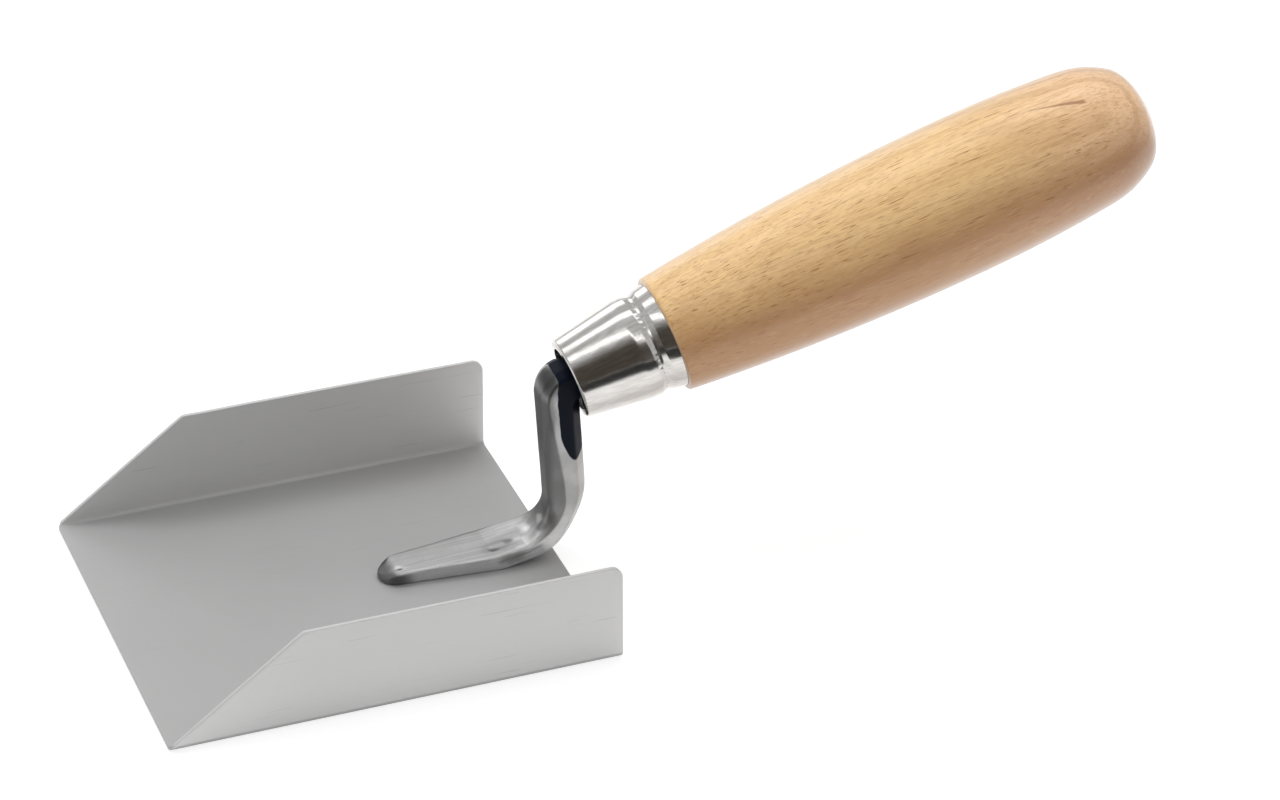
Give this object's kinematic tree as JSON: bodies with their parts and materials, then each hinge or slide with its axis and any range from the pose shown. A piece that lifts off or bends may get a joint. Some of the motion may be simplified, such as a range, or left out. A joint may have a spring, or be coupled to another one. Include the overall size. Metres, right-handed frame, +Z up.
{
  "type": "brick trowel",
  "caption": "Box trowel: flat folded steel pan with cut-back side walls, forged gooseneck shank, plated ferrule and a turned wooden handle, for placing mortar.",
  "frame": {"origin": "centre of the blade's flat underside", "axes": "+X from the blade towards the handle, +Y across the blade, +Z up out of the pan"},
  "size_m": [0.2651, 0.101, 0.1043],
  "materials": {
    "stainless_sheet": "fine satin grind along the blade",
    "forged_steel": "linished forging, dark scale left at the top of the neck",
    "weld_metal": "as welded",
    "plated_steel": "bright plated",
    "beech": "clear lacquer"
  },
  "bodies": {
    "root": {"blade": "stainless_sheet", "shank": "forged_steel", "spot_welds": "weld_metal", "ferrule": "plated_steel", "handle": "beech"}
  },
  "joints": []
}
